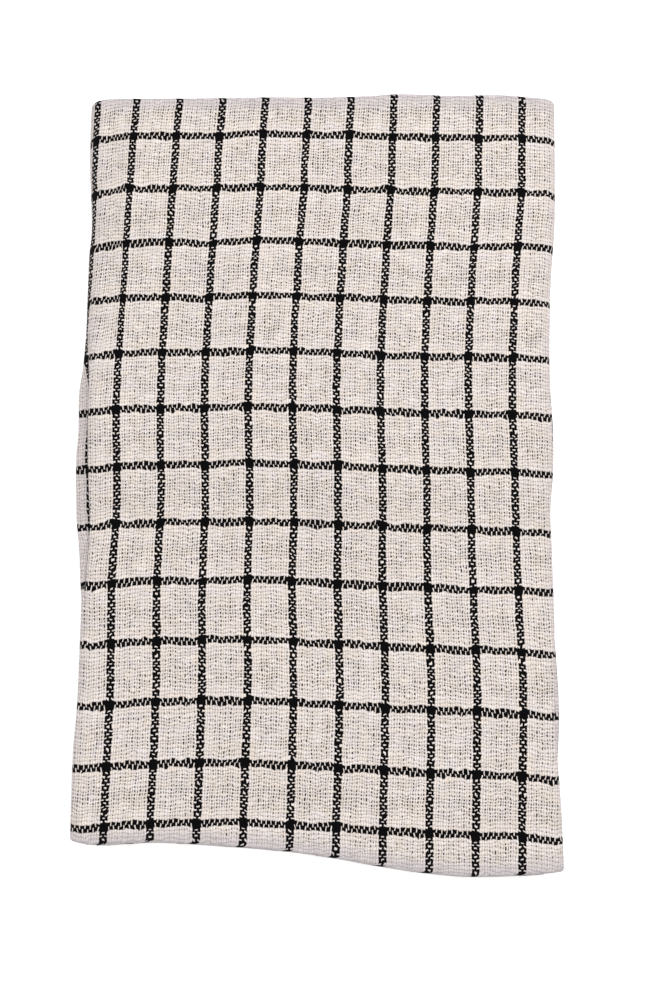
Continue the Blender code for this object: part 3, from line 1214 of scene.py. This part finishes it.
@dataclass(frozen=True)
class ClothFinish:
    """Off-white cotton with a fine black check, soft and open, with painted shade at its folds and painted
    shadow between its yarns.
    """

    light_yarn: tuple[float, ...] = (0.870, 0.800, 0.785, 1.0)
    warm_yarn: tuple[float, ...] = (0.865, 0.765, 0.680, 1.0)
    # Painted shade: the yarns' colour where the cloth turns over a fold, mixed in by the openness attribute
    painted_edge_shade: tuple[float, ...] = (0.640, 0.585, 0.600, 1.0)
    dark_yarn: tuple[float, ...] = (0.0030, 0.0027, 0.0033, 1.0)
    # Painted shadow in the gaps between the yarns, pale and deep, for the shaded plies beneath
    gap: tuple[float, ...] = (0.240, 0.195, 0.170, 1.0)
    deep_gap_shadow: tuple[float, ...] = (0.014, 0.011, 0.010, 1.0)
    yarn_relief: float = 0.00022
    spun_scale: float = 260.0
    spun_depth: float = 0.14
    sheen: float = 0.015
    sheen_roughness: float = 0.5
    specular: float = 0.04

    def build(
        self, weave: bpy.types.NodeTree, spun: bpy.types.NodeTree, uv_name: str, openness_name: str
    ) -> bpy.types.Material:
        """Builds the material.

        Args:
            weave: The weave's node group.
            spun: The node group for the tone of spun cotton.
            uv_name: The UV map that holds the tile coordinates.
            openness_name: The attribute that says how open the weave is, and so how much painted shade the
                yarns take at the folds.

        Returns:
            The material.
        """
        material = bpy.data.materials.new("checked_cotton")
        material.use_nodes = True
        nodes = NodeTree(material.node_tree)
        shader = material.node_tree.nodes["Principled BSDF"]
        tile = nodes.put("ShaderNodeUVMap", uv_map=uv_name)
        woven = nodes.put("ShaderNodeGroup", node_tree=weave)
        nodes.feed(woven.inputs["Tile"], tile.outputs["UV"])
        openness_and_shade = nodes.put("ShaderNodeAttribute", attribute_name=openness_name)
        nodes.feed(woven.inputs["Openness"], openness_and_shade.outputs["Fac"])
        # Painted shade: both yarn colours darken towards the edge colour where the openness attribute falls,
        # at the folds
        for name, colour in (("Light Yarn", self.light_yarn), ("Warm Yarn", self.warm_yarn)):
            nodes.feed(woven.inputs[name], nodes.tint(openness_and_shade.outputs["Fac"], self.painted_edge_shade, colour))
        # The gap colours are painted shadow
        for name, colour in (
            ("Dark Yarn", self.dark_yarn),
            ("Gap", self.gap),
            ("Deep Gap", self.deep_gap_shadow),
        ):
            nodes.feed(woven.inputs[name], colour)
        bump = nodes.put("ShaderNodeBump")
        bump.inputs["Distance"].default_value = self.yarn_relief
        nodes.feed(bump.inputs["Height"], woven.outputs["Height"])
        place = nodes.put("ShaderNodeTexCoord")
        tone = nodes.put("ShaderNodeGroup", node_tree=spun)
        nodes.feed(tone.inputs["Vector"], place.outputs["Object"])
        nodes.feed(tone.inputs["Scale"], self.spun_scale)
        shaded = nodes.times(nodes.take(1.0, tone.outputs["Tone"]), self.spun_depth)
        colour = nodes.tint(shaded, woven.outputs["Color"], self.dark_yarn)
        nodes.feed(shader.inputs["Base Color"], colour)
        nodes.feed(shader.inputs["Roughness"], woven.outputs["Roughness"])
        nodes.feed(shader.inputs["Normal"], bump.outputs["Normal"])
        shader.inputs["Sheen Weight"].default_value = self.sheen
        shader.inputs["Sheen Roughness"].default_value = self.sheen_roughness
        shader.inputs["Specular IOR Level"].default_value = self.specular
        return material


@dataclass
class Towel:
    """The cloth itself: one thin closed sheet on its folds."""

    plan: FoldPlan
    settling: Settling
    layout: CheckLayout
    middle: Vector
    floor_height: float
    sheet_thickness: float = 0.0012
    plain_share: float = 0.66
    hem_width: float = 0.008
    hem_slope: float = 0.0008
    # How near two stations may lie beside a hem, as a share of their usual distance
    least_spacing: float = 0.25
    uv_name: str = "OFBake"
    # The openness attribute: how open the weave is, which also sets the painted shade at the folds and ends
    openness_name: str = "openness_and_shade"
    edge_openness: float = 0.15
    edge_reach: float = 0.006
    side_give: float = 0.0045
    turn_reach: float = 0.0015
    face_columns: int = 96
    inner_columns: int = 14
    outer_columns: int = 30
    right_turn_steps: int = 8
    left_turn_steps: int = 40
    tuck_rows: int = 20
    back_rows: int = 40
    face_rows: int = 150
    end_turn_steps: int = 8
    shift: Vector = field(default_factory=Vector)

    def with_hems(self, places: list[float], first: bool, last: bool) -> list[float]:
        """Adds stations where a hem's thickness steps down, near the free ends of a run of places.

        Args:
            places: Places along a straight run, in order.
            first: Whether the run starts at a free end.
            last: Whether it stops at one.

        Returns:
            The places, with the hem's own put in.
        """
        way = 1.0 if places[-1] > places[0] else -1.0
        extra = []
        for free, end, inward in ((first, places[0], way), (last, places[-1], -way)):
            if free:
                extra += [end + inward * self.hem_width, end + inward * (self.hem_width + self.hem_slope)]
        spacing = abs(places[1] - places[0]) * self.least_spacing
        kept = [place for place in places if all(abs(place - other) > spacing for other in extra)]
        return sorted(kept + extra, reverse=way < 0)

    def across_stations(self) -> list[Across]:
        """Lists the sheet's places across the cloth, closest together on the face.

        Returns:
            The places, from the inner free edge to the outer one.
        """
        plan = self.plan
        inner = self.with_hems(evenly(plan.inner_end_x, plan.right_x, self.inner_columns), True, False)
        outer = self.with_hems(evenly(plan.left_x, plan.outer_end_x, self.outer_columns), False, True)
        right_turn = evenly(0.0, math.pi, self.right_turn_steps)[1:-1]
        left_turn = evenly(math.pi, 0.0, self.left_turn_steps)[1:-1]
        stations = [Across(Third.INNER, x, 0.0) for x in inner]
        stations += [Across(Third.RIGHT_TURN, plan.right_x, angle) for angle in right_turn]
        stations += [Across(Third.FACE, x, 0.0) for x in evenly(plan.right_x, plan.left_x, self.face_columns)]
        stations += [Across(Third.LEFT_TURN, plan.left_x, angle) for angle in left_turn]
        stations += [Across(Third.OUTER, x, 0.0) for x in outer]
        return stations

    def along_stations(self) -> list[Along]:
        """Lists the sheet's places along the cloth, closest together on the face.

        Returns:
            The places, from the tucked end to the foot end.
        """
        plan = self.plan
        radius = plan.turn_radius
        foot_depth = plan.shallow / 2
        head_depth = plan.shallow + foot_depth
        sweep = evenly(0.0, math.pi, self.end_turn_steps)[1:-1]
        stations = []
        for y in self.with_hems(evenly(plan.tuck_end_y, plan.head_y, self.tuck_rows), True, False):
            stations.append(Along(Ply.TUCK, y, plan.ply_pitch, y - plan.tuck_end_y))
        start = plan.tuck
        for angle in sweep:
            y = plan.head_y + radius * math.sin(angle)
            depth = head_depth - radius * math.cos(angle)
            stations.append(Along(Ply.HEAD_TURN, y, depth, start + radius * angle))
        start += math.pi * radius
        for y in evenly(plan.head_y, plan.foot_y, self.face_rows):
            stations.append(Along(Ply.FACE, y, plan.face_depth(y), start + plan.head_y - y))
        start += plan.head_y - plan.foot_y
        for angle in sweep:
            y = plan.foot_y - radius * math.sin(angle)
            depth = foot_depth + radius * math.cos(angle)
            stations.append(Along(Ply.FOOT_TURN, y, depth, start + radius * angle))
        start += math.pi * radius
        for y in self.with_hems(evenly(plan.foot_y, plan.back_end_y, self.back_rows), False, True):
            stations.append(Along(Ply.BACK, y, 0.0, start + y - plan.foot_y))
        return stations

    def point(self, across: Across, along: Along) -> Vector:
        """Finds where a place of the cloth lies."""
        return self.settling.place(self.plan.stack(across, along)) + self.shift

    def thickness_share(self, across: Across, along: Along) -> float:
        """Gives the sheet's thickness at a place: it steps down where the hems end.

        Args:
            across: The place across the cloth.
            along: The place along it.

        Returns:
            The thickness, as a share of the hem's.
        """
        edges = [along.distance, self.plan.cloth_length - along.distance]
        if across.third is Third.INNER:
            edges.append(across.x - self.plan.inner_end_x)
        if across.third is Third.OUTER:
            edges.append(self.plan.outer_end_x - across.x)
        step = smooth((min(edges) - self.hem_width) / self.hem_slope)
        return blend(1.0, self.plain_share, step)

    def build(self, material: bpy.types.Material) -> bpy.types.Object:
        """Builds the sheet, with its tile coordinates, thickness and finish.

        Args:
            material: The cloth's finish.

        Returns:
            The piece.
        """
        columns, rows = self.across_stations(), self.along_stations()
        points = [self.point(across, along) for along in rows for across in columns]
        low, high = self.corners(points)
        half = self.sheet_thickness / 2
        self.shift = Vector((
            self.middle.x - (low.x + high.x) / 2,
            self.middle.y - (low.y + high.y) / 2,
            self.floor_height + half - low.z,
        ))
        mesh = bpy.data.meshes.new("towel_cloth")
        width = len(columns)
        faces = []
        for row in range(len(rows) - 1):
            for column in range(width - 1):
                corner = row * width + column
                faces.append((corner, corner + 1, corner + width + 1, corner + width))
        mesh.from_pydata([point + self.shift for point in points], [], faces)
        self.unwrap(mesh, columns, rows)
        self.close_and_shade_edges(mesh, columns, rows)
        mesh.shade_smooth()
        mesh.materials.append(material)
        piece = bpy.data.objects.new("towel_cloth", mesh)
        bpy.context.scene.collection.objects.link(piece)
        self.thicken(piece, columns, rows)
        return piece

    @staticmethod
    def corners(points: list[Vector]) -> tuple[Vector, Vector]:
        """Finds the box round some points.

        Args:
            points: The points.

        Returns:
            Its lowest and its highest corner.
        """
        low = Vector([min(point[axis] for point in points) for axis in range(3)])
        high = Vector([max(point[axis] for point in points) for axis in range(3)])
        return low, high

    def unwrap(self, mesh: bpy.types.Mesh, columns: list[Across], rows: list[Along]) -> None:
        """Writes each corner's place in the repeating tile to the sheet's UV map.

        Args:
            mesh: The sheet.
            columns: The places across the cloth, in order.
            rows: The places along it.
        """
        tiles = []
        for along in rows:
            extras = self.layout.slack(columns, along)
            tiles += [self.layout.tile(across, along, extra) for across, extra in zip(columns, extras)]
        layer = mesh.uv_layers.new(name=self.uv_name)
        flat = []
        for loop in mesh.loops:
            flat.extend(tiles[loop.vertex_index])
        layer.data.foreach_set("uv", flat)

    def close_and_shade_edges(self, mesh: bpy.types.Mesh, columns: list[Across], rows: list[Along]) -> None:
        """Writes how open the weave is at each point: it closes up where the cloth turns over a fold, and the
        finish paints shade on the yarns there by the same value.

        Args:
            mesh: The sheet.
            columns: The places across the cloth, in order.
            rows: The places along it.
        """
        plan = self.plan
        values = []
        for along in rows:
            for across in columns:
                to_side = min(across.x - plan.left_x, plan.right_x - across.x)
                if across.third in (Third.LEFT_TURN, Third.RIGHT_TURN):
                    to_side = (across.angle - math.pi) * self.turn_reach
                to_end = min(along.y - plan.foot_y, plan.head_y - along.y)
                near = min(to_side + self.side_give, to_end)
                values.append(blend(self.edge_openness, 1.0, smooth(near / self.edge_reach)))
        attribute = mesh.attributes.new(self.openness_name, "FLOAT", "POINT")
        attribute.data.foreach_set("value", values)

    def thicken(self, piece: bpy.types.Object, columns: list[Across], rows: list[Along]) -> None:
        """Gives the sheet its thickness, with turned hems at its free edges, as a plain closed mesh.

        Args:
            piece: The sheet's object, whose mesh is replaced.
            columns: The places across the cloth, in order.
            rows: The places along it.
        """
        group = piece.vertex_groups.new(name="thickness")
        index = 0
        for along in rows:
            for across in columns:
                group.add([index], self.thickness_share(across, along), "REPLACE")
                index += 1
        solid = piece.modifiers.new("thickness", "SOLIDIFY")
        solid.thickness = self.sheet_thickness
        solid.offset = 0.0
        solid.vertex_group = group.name
        evaluated = piece.evaluated_get(bpy.context.evaluated_depsgraph_get())
        thick = bpy.data.meshes.new_from_object(evaluated)
        piece.modifiers.remove(solid)
        piece.vertex_groups.clear()
        thin = piece.data
        piece.data = thick
        bpy.data.meshes.remove(thin)
        thick.name = "towel_cloth"


@dataclass(frozen=True)
class StitchGroup:
    """Running stitches along a path, as a geometry node group."""

    name: str = "Running Stitches"
    sides: int = 6
    rings: int = 4
    bead_radius: float = 0.5
    least: float = 0.85
    most: float = 1.12
    # Which of the random node's sockets serve a plain number
    random_min: int = 2
    random_max: int = 3
    random_seed: int = 8
    random_value: int = 1

    def build(self) -> bpy.types.NodeTree:
        """Builds the group.

        Returns:
            The group's tree.
        """
        nodes, given, made = new_group(
            self.name,
            "GeometryNodeTree",
            {
                "Geometry": ("NodeSocketGeometry", None),
                "Pitch": ("NodeSocketFloat", None),
                "Length": ("NodeSocketFloat", None),
                "Thickness": ("NodeSocketFloat", None),
                "Seed": ("NodeSocketInt", None),
                "Material": ("NodeSocketMaterial", None),
            },
            {"Geometry": "NodeSocketGeometry"},
        )
        path = nodes.put("GeometryNodeMeshToCurve")
        nodes.feed(path.inputs["Mesh"], given.outputs["Geometry"])
        spaced = nodes.put("GeometryNodeCurveToPoints", mode="LENGTH")
        nodes.feed(spaced.inputs["Curve"], path.outputs["Curve"])
        nodes.feed(spaced.inputs["Length"], given.outputs["Pitch"])
        aimed = nodes.put("FunctionNodeAlignRotationToVector", axis="X")
        nodes.feed(aimed.inputs["Vector"], spaced.outputs["Tangent"])
        bead = nodes.put("GeometryNodeMeshUVSphere")
        bead.inputs["Segments"].default_value = self.sides
        bead.inputs["Rings"].default_value = self.rings
        bead.inputs["Radius"].default_value = self.bead_radius
        smoothed = nodes.put("GeometryNodeSetShadeSmooth")
        nodes.feed(smoothed.inputs["Geometry"], bead.outputs["Mesh"])
        uneven = nodes.put("FunctionNodeRandomValue", data_type="FLOAT")
        uneven.inputs[self.random_min].default_value = self.least
        uneven.inputs[self.random_max].default_value = self.most
        nodes.feed(uneven.inputs[self.random_seed], given.outputs["Seed"])
        long = nodes.times(given.outputs["Length"], uneven.outputs[self.random_value])
        placed = nodes.put("GeometryNodeInstanceOnPoints")
        nodes.feed(placed.inputs["Points"], spaced.outputs["Points"])
        nodes.feed(placed.inputs["Instance"], smoothed.outputs["Geometry"])
        nodes.feed(placed.inputs["Rotation"], aimed.outputs["Rotation"])
        thickness = given.outputs["Thickness"]
        nodes.feed(placed.inputs["Scale"], nodes.vector(long, thickness, thickness))
        real = nodes.put("GeometryNodeRealizeInstances")
        nodes.feed(real.inputs["Geometry"], placed.outputs["Instances"])
        dressed = nodes.put("GeometryNodeSetMaterial")
        nodes.feed(dressed.inputs["Geometry"], real.outputs["Geometry"])
        nodes.feed(dressed.inputs["Material"], given.outputs["Material"])
        nodes.feed(made.inputs["Geometry"], dressed.outputs["Geometry"])
        return nodes.tree


@dataclass
class HemStitches:
    """The thread that holds the hems down: short running stitches on both faces of the cloth."""

    towel: Towel
    inset: float = 0.0065
    pitch: float = 0.0034
    length: float = 0.0024
    thickness: float = 0.00036
    sink: float = 0.00010
    probe: float = 0.0004
    seed: int = 3

    def build(self, stitches: bpy.types.NodeTree, material: bpy.types.Material) -> bpy.types.Object:
        """Builds the stitches as one plain mesh.

        Args:
            stitches: The geometry node group.
            material: The thread's finish.

        Returns:
            The piece.
        """
        mesh = bpy.data.meshes.new("hem_stitches")
        points = []
        edges = []
        for places, beside in self.lines():
            for side in (1.0, -1.0):
                strand = self.strand(places, beside, side)
                first = len(points)
                points += strand
                edges += [(first + step, first + step + 1) for step in range(len(strand) - 1)]
        mesh.from_pydata(points, edges, [])
        piece = bpy.data.objects.new("hem_stitches", mesh)
        bpy.context.scene.collection.objects.link(piece)
        values = {
            "Pitch": self.pitch,
            "Length": self.length,
            "Thickness": self.thickness,
            "Seed": self.seed,
            "Material": material,
        }
        modifier = piece.modifiers.new("stitches", "NODES")
        modifier.node_group = stitches
        for item in stitches.interface.items_tree:
            if item.name in values:
                modifier[item.identifier] = values[item.name]
        evaluated = piece.evaluated_get(bpy.context.evaluated_depsgraph_get())
        sewn = bpy.data.meshes.new_from_object(evaluated)
        piece.modifiers.remove(modifier)
        piece.data = sewn
        bpy.data.meshes.remove(mesh)
        sewn.name = "hem_stitches"
        return piece

    def lines(self) -> list[tuple[list[Vector], list[Vector]]]:
        """Lists the stitched lines.

        Returns:
            Each line's points, with those of the line just inside it, which give the cloth's slope.
        """
        towel = self.towel
        plan = towel.plan
        longest = plan.cloth_length - self.inset
        rows = [row for row in towel.along_stations() if self.inset < row.distance < longest]
        columns = [column for column in towel.across_stations() if not self.on_side_hem(column)]
        found = []
        for third, free, inward in (
            (Third.INNER, plan.inner_end_x, 1.0),
            (Third.OUTER, plan.outer_end_x, -1.0),
        ):
            pair = []
            for inset in (self.inset, self.inset + self.probe):
                across = Across(third, free + inward * inset, 0.0)
                pair.append([towel.point(across, row) for row in rows])
            found.append((pair[0], pair[1]))
        for ply, free, inward, depth, start in (
            (Ply.TUCK, plan.tuck_end_y, 1.0, plan.ply_pitch, 0.0),
            (Ply.BACK, plan.back_end_y, -1.0, 0.0, plan.cloth_length),
        ):
            pair = []
            for inset in (self.inset, self.inset + self.probe):
                along = Along(ply, free + inward * inset, depth, start + inward * inset)
                pair.append([towel.point(column, along) for column in columns])
            found.append((pair[0], pair[1]))
        return found

    def on_side_hem(self, column: Across) -> bool:
        """Tells whether a place across the cloth lies outside the stitched lines of the long hems.

        Args:
            column: The place.

        Returns:
            True outside the lines.
        """
        plan = self.towel.plan
        inside_inner = column.third is Third.INNER and column.x < plan.inner_end_x + self.inset
        inside_outer = column.third is Third.OUTER and column.x > plan.outer_end_x - self.inset
        return inside_inner or inside_outer

    def strand(self, places: list[Vector], beside: list[Vector], side: float) -> list[Vector]:
        """Moves a line from the middle of the cloth out to one of its faces.

        Args:
            places: The line's points.
            beside: The points of the line just inside it.
            side: 1 or -1, for the face.

        Returns:
            The moved points.
        """
        reach = side * (self.towel.sheet_thickness / 2 - self.sink)
        strand = []
        for index, place in enumerate(places):
            run = places[min(index + 1, len(places) - 1)] - places[max(index - 1, 0)]
            normal = run.cross(beside[index] - place).normalized()
            strand.append(place + normal * reach)
        return strand


@dataclass(frozen=True)
class SoftLight:
    """A square soft light: its name, where it hangs, its side in metres and its power in watts."""

    name: str
    place: tuple[float, float, float]
    side: float
    power: float


@dataclass
class Studio:
    """A plain pale floor, soft light and the camera above the pile."""

    floor_height: float
    floor_side: float = 4.0
    floor_colour: tuple[float, ...] = (0.92, 0.92, 0.92, 1.0)
    floor_roughness: float = 0.9
    floor_glow: float = 0.42
    world_strength: float = 0.50
    lights: tuple[SoftLight, ...] = (
        SoftLight("key", place=(0.55, 0.60, 1.10), side=0.9, power=14.0),
        SoftLight("fill", place=(-0.70, -0.40, 1.20), side=1.2, power=8.0),
    )
    target: Vector = field(default_factory=lambda: Vector((0.0, -0.0064, 0.008)))
    distance: float = 0.700
    tilt: float = math.radians(12.2)
    roll: float = math.radians(0.65)
    lens: float = 69.4
    sensor_width: float = 36.0
    clip_start: float = 0.01
    shift: tuple[float, float] = (0.016, -0.0139)

    def build(self) -> bpy.types.Object:
        """Builds the floor, the lights and the camera.

        Returns:
            The floor.
        """
        self.place_camera()
        self.place_world()
        for light in self.lights:
            self.place_light(light)
        return self.place_floor()

    def place_floor(self) -> bpy.types.Object:
        """Lays the floor just under the pile.

        Returns:
            The floor.
        """
        half = self.floor_side / 2
        corners = [(-half, -half), (half, -half), (half, half), (-half, half)]
        mesh = bpy.data.meshes.new("floor")
        mesh.from_pydata([(x, y, self.floor_height) for x, y in corners], [], [(0, 1, 2, 3)])
        material = bpy.data.materials.new("floor")
        material.use_nodes = True
        shader = material.node_tree.nodes["Principled BSDF"]
        shader.inputs["Base Color"].default_value = self.floor_colour
        shader.inputs["Roughness"].default_value = self.floor_roughness
        shader.inputs["Emission Color"].default_value = WHITE
        shader.inputs["Emission Strength"].default_value = self.floor_glow
        mesh.materials.append(material)
        floor = bpy.data.objects.new("floor", mesh)
        bpy.context.scene.collection.objects.link(floor)
        return floor

    def place_world(self) -> None:
        """Fills the room with even white light, and shows colours without a film curve."""
        world = bpy.data.worlds.new("studio")
        world.use_nodes = True
        background = world.node_tree.nodes["Background"]
        background.inputs["Color"].default_value = WHITE
        background.inputs["Strength"].default_value = self.world_strength
        bpy.context.scene.world = world
        bpy.context.scene.view_settings.view_transform = "Standard"

    def place_light(self, light: SoftLight) -> None:
        """Hangs a soft light that faces the pile.

        Args:
            light: The light.
        """
        data = bpy.data.lights.new(light.name, "AREA")
        data.shape = "SQUARE"
        data.size = light.side
        data.energy = light.power
        lamp = bpy.data.objects.new(light.name, data)
        lamp.location = light.place
        lamp.rotation_euler = (self.target - Vector(light.place)).to_track_quat("-Z", "Y").to_euler()
        bpy.context.scene.collection.objects.link(lamp)

    def place_camera(self) -> None:
        """Hangs the camera over the pile, leaning towards its foot."""
        data = bpy.data.cameras.new("camera")
        data.lens = self.lens
        data.sensor_width = self.sensor_width
        data.clip_start = self.clip_start
        data.shift_x, data.shift_y = self.shift
        camera = bpy.data.objects.new("camera", data)
        offset = Vector((0.0, -math.sin(self.tilt), math.cos(self.tilt))) * self.distance
        turn = Matrix.Rotation(self.tilt, 4, "X") @ Matrix.Rotation(self.roll, 4, "Z")
        camera.matrix_world = Matrix.Translation(self.target + offset) @ turn
        bpy.context.scene.collection.objects.link(camera)
        bpy.context.scene.camera = camera


def main() -> None:
    """Builds the studio and the towel, and ties the towel to its CAD body."""
    logging.basicConfig(level=logging.INFO, format="%(message)s")
    low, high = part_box("towel")
    middle = (low + high) / 2
    studio = Studio(floor_height=low.z - FLOOR_GAP)
    floor = studio.build()
    plan = FoldPlan()
    settling = Settling(plan)
    layout = CheckLayout(plan, settling)
    towel = Towel(plan, settling, layout, middle, floor_height=low.z)
    weave = WeaveGroup(WeaveSpec(checks=layout.tile_checks), WeaveTone()).build()
    spun = SpunGroup().build()
    cloth = towel.build(ClothFinish().build(weave, spun, towel.uv_name, towel.openness_name))
    stitches = HemStitches(towel).build(StitchGroup().build(), ThreadFinish().build(spun))
    for piece in (cloth, stitches):
        LOG.info("%s: %d faces", piece.name, len(piece.data.polygons))
        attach(piece, "root")
    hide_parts("towel")


if __name__ == "__main__":
    main()
